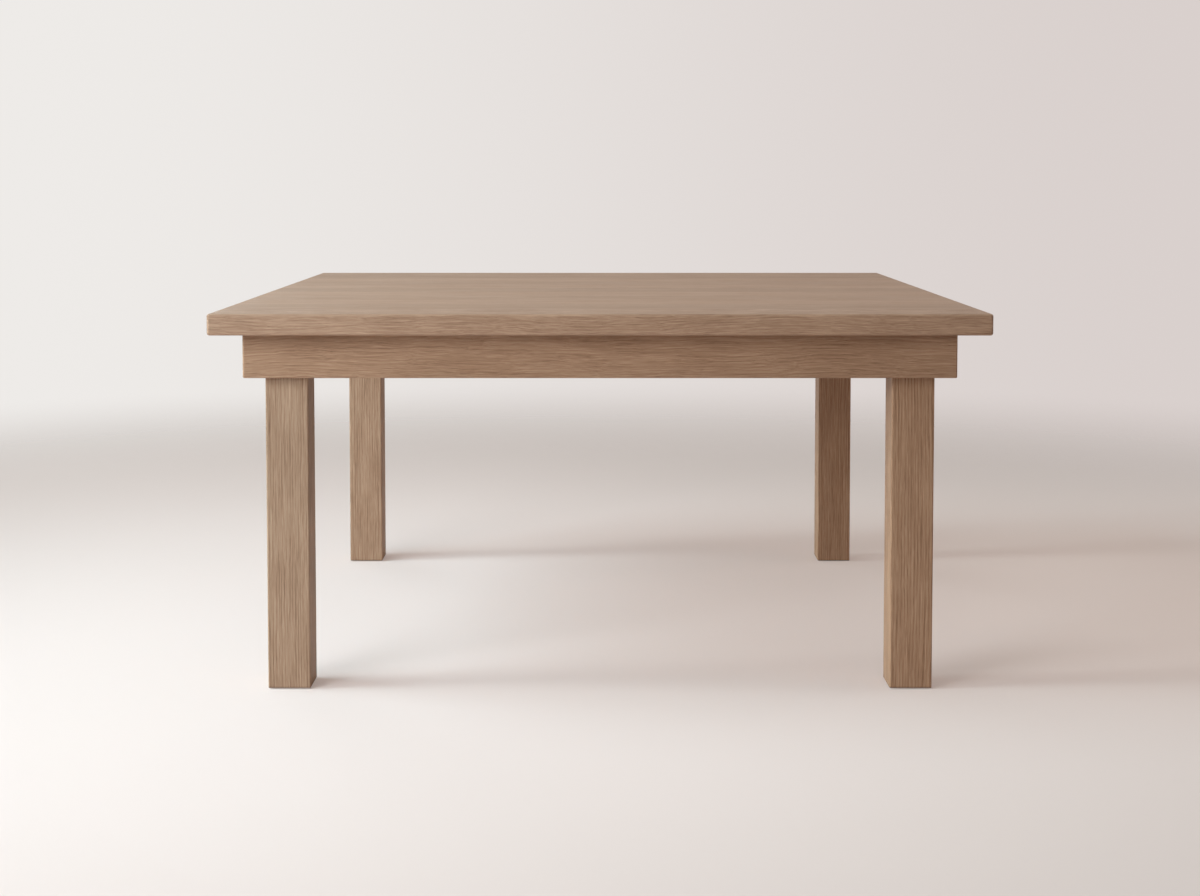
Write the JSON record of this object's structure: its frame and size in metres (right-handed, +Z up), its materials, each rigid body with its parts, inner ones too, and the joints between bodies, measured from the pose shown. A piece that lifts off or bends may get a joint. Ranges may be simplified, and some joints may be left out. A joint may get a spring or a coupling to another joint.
{
  "type": "parsons dining table",
  "caption": "Square oak dining table: thick board top with rounded edges over a set-back mitred apron, square legs inside its corners, and screw-adjusted levelling glides in the feet.",
  "frame": {"origin": "on the floor under the middle of the top", "axes": "+X to the right along the top's grain, +Y to the back, +Z up; the picture looks along +Y at the front edge"},
  "size_m": [1.524, 1.524, 0.762],
  "materials": {
    "top_oak": "matte brushed oak, light greyish brown",
    "frame_oak": "matte brushed oak, light greyish brown",
    "bearer_oak": "planed, unfinished",
    "beech": "planed, unfinished",
    "zinc_plated_steel": "zinc plated",
    "glide_steel": "bright zinc",
    "brass": "turned brass",
    "nylon": "moulded, dark brown",
    "felt": "pressed wool felt, brown"
  },
  "bodies": {
    "table": {"top_board_01": "top_oak", "top_board_02": "top_oak", "top_board_03": "top_oak", "top_board_04": "top_oak", "top_board_05": "top_oak", "top_board_06": "top_oak", "top_board_07": "top_oak", "top_board_08": "top_oak", "top_board_09": "top_oak", "top_board_10": "top_oak", "top_board_11": "top_oak", "top_splines": "beech", "apron_front": "frame_oak", "apron_right": "frame_oak", "apron_back": "frame_oak", "apron_left": "frame_oak", "mitre_keys": "beech", "leg_front_left": "frame_oak", "leg_front_right": "frame_oak", "leg_back_right": "frame_oak", "leg_back_left": "frame_oak", "bearer_1": "bearer_oak", "bearer_2": "bearer_oak", "bearer_3": "bearer_oak", "leg_bolts": "zinc_plated_steel", "leg_bolt_washers": "zinc_plated_steel", "leg_bolt_inserts": "brass", "top_clips": "zinc_plated_steel", "top_clip_screws": "zinc_plated_steel", "glide_inserts": "brass"},
    "glide_pad_front_left": {"glide_base_front_left": "nylon", "glide_felt_front_left": "felt"},
    "glide_screw_front_left": {"glide_stem_front_left": "glide_steel"},
    "glide_pad_front_right": {"glide_base_front_right": "nylon", "glide_felt_front_right": "felt"},
    "glide_screw_front_right": {"glide_stem_front_right": "glide_steel"},
    "glide_pad_back_right": {"glide_base_back_right": "nylon", "glide_felt_back_right": "felt"},
    "glide_screw_back_right": {"glide_stem_back_right": "glide_steel"},
    "glide_pad_back_left": {"glide_base_back_left": "nylon", "glide_felt_back_left": "felt"},
    "glide_screw_back_left": {"glide_stem_back_left": "glide_steel"}
  },
  "joints": [
    {"name": "glide_lift_front_left", "type": "slide", "parent": "table", "child": "glide_pad_front_left", "axis": [0, 0, -1], "range_m": [0, 0.015]},
    {"name": "glide_turn_front_left", "type": "hinge", "parent": "glide_pad_front_left", "child": "glide_screw_front_left", "pos_m": [-0.6235, -0.6235, 0.008], "axis": [0, 0, -1], "range_deg": [0, 4320]},
    {"name": "glide_lift_front_right", "type": "slide", "parent": "table", "child": "glide_pad_front_right", "axis": [0, 0, -1], "range_m": [0, 0.015]},
    {"name": "glide_turn_front_right", "type": "hinge", "parent": "glide_pad_front_right", "child": "glide_screw_front_right", "pos_m": [0.6235, -0.6235, 0.008], "axis": [0, 0, -1], "range_deg": [0, 4320]},
    {"name": "glide_lift_back_right", "type": "slide", "parent": "table", "child": "glide_pad_back_right", "axis": [0, 0, -1], "range_m": [0, 0.015]},
    {"name": "glide_turn_back_right", "type": "hinge", "parent": "glide_pad_back_right", "child": "glide_screw_back_right", "pos_m": [0.6235, 0.6235, 0.008], "axis": [0, 0, -1], "range_deg": [0, 4320]},
    {"name": "glide_lift_back_left", "type": "slide", "parent": "table", "child": "glide_pad_back_left", "axis": [0, 0, -1], "range_m": [0, 0.015]},
    {"name": "glide_turn_back_left", "type": "hinge", "parent": "glide_pad_back_left", "child": "glide_screw_back_left", "pos_m": [-0.6235, 0.6235, 0.008], "axis": [0, 0, -1], "range_deg": [0, 4320]}
  ],
  "couplings": [
    {"joint": "glide_lift_front_left", "follows": "glide_turn_front_left", "m_per_rad": 0.00019894},
    {"joint": "glide_lift_front_right", "follows": "glide_turn_front_right", "m_per_rad": 0.00019894},
    {"joint": "glide_lift_back_right", "follows": "glide_turn_back_right", "m_per_rad": 0.00019894},
    {"joint": "glide_lift_back_left", "follows": "glide_turn_back_left", "m_per_rad": 0.00019894}
  ]
}
